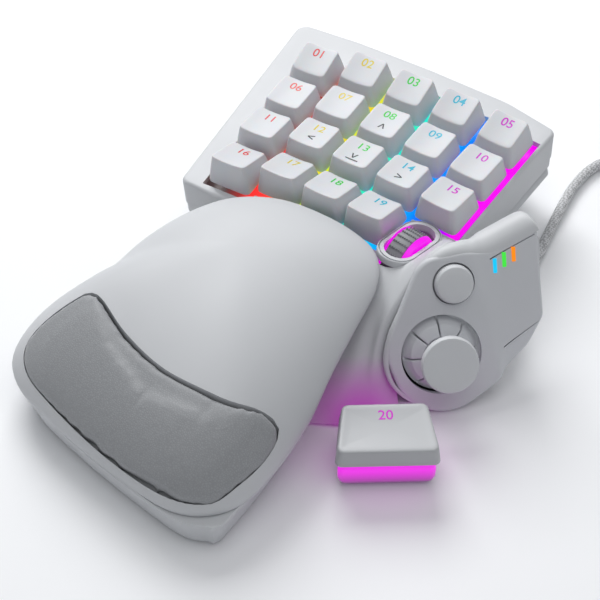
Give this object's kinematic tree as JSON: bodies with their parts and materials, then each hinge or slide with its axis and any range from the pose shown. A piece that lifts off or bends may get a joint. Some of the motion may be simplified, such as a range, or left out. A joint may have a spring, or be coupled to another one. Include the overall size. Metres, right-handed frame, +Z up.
{
  "type": "one-hand keypad",
  "caption": "Left-hand keypad: block of sprung keys, scroll wheel, thumb module with stick and button, sliding palm rest, braided cable.",
  "frame": {"origin": "centre of the underside of the keypad without its cable, on the surface it stands on", "axes": "+X to the right, +Y away from the user, +Z up"},
  "size_m": [0.201, 0.2955, 0.0521],
  "materials": {
    "white_abs": "satin",
    "keycap": "satin, translucent",
    "grey_trim": "satin",
    "leatherette": "fine grain",
    "rubber": "matt",
    "silicone": "matt",
    "board": "solder mask",
    "steel": "plain",
    "glow": "lit from inside",
    "braid": "woven sleeve"
  },
  "bodies": {
    "base": {"bottom_tray": "white_abs", "deck_cover": "white_abs", "dome_sheet": "silicone", "key_guide_frame": "white_abs", "main_board": "board", "foot_rear_left": "rubber", "foot_rear_right": "rubber", "foot_waist": "rubber", "palm_rail_left": "steel", "palm_rail_right": "steel", "screw_rear": "steel", "screw_waist": "steel", "status_light_pipe": "silicone", "strain_relief": "grey_trim", "thumb_back_cover": "white_abs", "thumb_face": "grey_trim", "thumb_key_base": "glow", "thumb_pad_cup": "white_abs", "waist_cover": "white_abs", "waist_floor": "white_abs", "waist_side_wall": "white_abs", "wheel_bezel": "white_abs", "wing_bar": "white_abs", "cable": "braid", "cable_coil": "braid", "usb_plug_grip": "grey_trim", "usb_plug_shell": "steel"},
    "key_01": {"keycap_01": "keycap"},
    "key_02": {"keycap_02": "keycap"},
    "key_03": {"keycap_03": "keycap"},
    "key_04": {"keycap_04": "keycap"},
    "key_05": {"keycap_05": "keycap"},
    "key_06": {"keycap_06": "keycap"},
    "key_07": {"keycap_07": "keycap"},
    "key_08": {"keycap_08": "keycap"},
    "key_09": {"keycap_09": "keycap"},
    "key_10": {"keycap_10": "keycap"},
    "key_11": {"keycap_11": "keycap"},
    "key_12": {"keycap_12": "keycap"},
    "key_13": {"keycap_13": "keycap"},
    "key_14": {"keycap_14": "keycap"},
    "key_15": {"keycap_15": "keycap"},
    "key_16": {"keycap_16": "keycap"},
    "key_17": {"keycap_17": "keycap"},
    "key_18": {"keycap_18": "keycap"},
    "key_19": {"keycap_19": "keycap"},
    "thumb_key": {"keycap_20": "keycap"},
    "button": {"thumb_button": "grey_trim"},
    "gimbal": {"stick_gimbal_ring": "steel"},
    "stick": {"thumbstick": "grey_trim"},
    "wheel_carrier": {"wheel_carrier": "grey_trim"},
    "wheel": {"wheel_tyre": "grey_trim", "wheel_rim_left": "glow", "wheel_rim_right": "glow", "wheel_axle": "steel"},
    "palm_rest": {"palm_shell": "white_abs", "palm_cushion": "leatherette", "palm_tray": "white_abs", "foot_palm": "rubber"}
  },
  "joints": [
    {"name": "key_press_01", "type": "slide", "parent": "base", "child": "key_01", "axis": [0, 0.0941, -0.9956], "range_m": [0, 0.0036], "stiffness_N_per_m": 130, "springref_m": -0.0015},
    {"name": "key_press_02", "type": "slide", "parent": "base", "child": "key_02", "axis": [0, 0.0941, -0.9956], "range_m": [0, 0.0036], "stiffness_N_per_m": 130, "springref_m": -0.0015},
    {"name": "key_press_03", "type": "slide", "parent": "base", "child": "key_03", "axis": [0, 0.0941, -0.9956], "range_m": [0, 0.0036], "stiffness_N_per_m": 130, "springref_m": -0.0015},
    {"name": "key_press_04", "type": "slide", "parent": "base", "child": "key_04", "axis": [0, 0.0941, -0.9956], "range_m": [0, 0.0036], "stiffness_N_per_m": 130, "springref_m": -0.0015},
    {"name": "key_press_05", "type": "slide", "parent": "base", "child": "key_05", "axis": [0, 0.0941, -0.9956], "range_m": [0, 0.0036], "stiffness_N_per_m": 130, "springref_m": -0.0015},
    {"name": "key_press_06", "type": "slide", "parent": "base", "child": "key_06", "axis": [0, 0.0941, -0.9956], "range_m": [0, 0.0036], "stiffness_N_per_m": 130, "springref_m": -0.0015},
    {"name": "key_press_07", "type": "slide", "parent": "base", "child": "key_07", "axis": [0, 0.0941, -0.9956], "range_m": [0, 0.0036], "stiffness_N_per_m": 130, "springref_m": -0.0015},
    {"name": "key_press_08", "type": "slide", "parent": "base", "child": "key_08", "axis": [0, 0.0941, -0.9956], "range_m": [0, 0.0036], "stiffness_N_per_m": 130, "springref_m": -0.0015},
    {"name": "key_press_09", "type": "slide", "parent": "base", "child": "key_09", "axis": [0, 0.0941, -0.9956], "range_m": [0, 0.0036], "stiffness_N_per_m": 130, "springref_m": -0.0015},
    {"name": "key_press_10", "type": "slide", "parent": "base", "child": "key_10", "axis": [0, 0.0941, -0.9956], "range_m": [0, 0.0036], "stiffness_N_per_m": 130, "springref_m": -0.0015},
    {"name": "key_press_11", "type": "slide", "parent": "base", "child": "key_11", "axis": [0, 0.0941, -0.9956], "range_m": [0, 0.0036], "stiffness_N_per_m": 130, "springref_m": -0.0015},
    {"name": "key_press_12", "type": "slide", "parent": "base", "child": "key_12", "axis": [0, 0.0941, -0.9956], "range_m": [0, 0.0036], "stiffness_N_per_m": 130, "springref_m": -0.0015},
    {"name": "key_press_13", "type": "slide", "parent": "base", "child": "key_13", "axis": [0, 0.0941, -0.9956], "range_m": [0, 0.0036], "stiffness_N_per_m": 130, "springref_m": -0.0015},
    {"name": "key_press_14", "type": "slide", "parent": "base", "child": "key_14", "axis": [0, 0.0941, -0.9956], "range_m": [0, 0.0036], "stiffness_N_per_m": 130, "springref_m": -0.0015},
    {"name": "key_press_15", "type": "slide", "parent": "base", "child": "key_15", "axis": [0, 0.0941, -0.9956], "range_m": [0, 0.0036], "stiffness_N_per_m": 130, "springref_m": -0.0015},
    {"name": "key_press_16", "type": "slide", "parent": "base", "child": "key_16", "axis": [0, 0.0941, -0.9956], "range_m": [0, 0.0036], "stiffness_N_per_m": 130, "springref_m": -0.0015},
    {"name": "key_press_17", "type": "slide", "parent": "base", "child": "key_17", "axis": [0, 0.0941, -0.9956], "range_m": [0, 0.0036], "stiffness_N_per_m": 130, "springref_m": -0.0015},
    {"name": "key_press_18", "type": "slide", "parent": "base", "child": "key_18", "axis": [0, 0.0941, -0.9956], "range_m": [0, 0.0036], "stiffness_N_per_m": 130, "springref_m": -0.0015},
    {"name": "key_press_19", "type": "slide", "parent": "base", "child": "key_19", "axis": [0, 0.0941, -0.9956], "range_m": [0, 0.0036], "stiffness_N_per_m": 130, "springref_m": -0.0015},
    {"name": "key_press_20", "type": "slide", "parent": "base", "child": "thumb_key", "axis": [0, 0, -1], "range_m": [0, 0.003], "stiffness_N_per_m": 160, "springref_m": -0.0015},
    {"name": "thumb_button_press", "type": "slide", "parent": "base", "child": "button", "axis": [-0.5612, 0.6233, -0.5446], "range_m": [0, 0.0012], "stiffness_N_per_m": 500, "springref_m": -0.0008},
    {"name": "stick_tilt_across", "type": "hinge", "parent": "base", "child": "gimbal", "pos_m": [0.04689, -0.00307, 0.0156], "axis": [-0.3644, 0.4047, 0.8387], "range_deg": [-7, 7], "stiffness_Nm_per_rad": 0.25},
    {"name": "stick_tilt_along", "type": "hinge", "parent": "gimbal", "child": "stick", "pos_m": [0.04689, -0.00307, 0.0156], "axis": [0.7431, 0.6691, 0], "range_deg": [-7, 7], "stiffness_Nm_per_rad": 0.25},
    {"name": "wheel_press", "type": "slide", "parent": "base", "child": "wheel_carrier", "axis": [-0.0218, -0.1549, -0.9877], "range_m": [0, 0.0008], "stiffness_N_per_m": 1500, "springref_m": -0.0005},
    {"name": "wheel_turn", "type": "hinge", "parent": "wheel_carrier", "child": "wheel", "pos_m": [0.02213, 0.01742, 0.02769], "axis": [0.9903, -0.1392, 0], "continuous": true},
    {"name": "palm_rest_slide", "type": "slide", "parent": "base", "child": "palm_rest", "axis": [0, -1, 0], "range_m": [0, 0.012]}
  ]
}
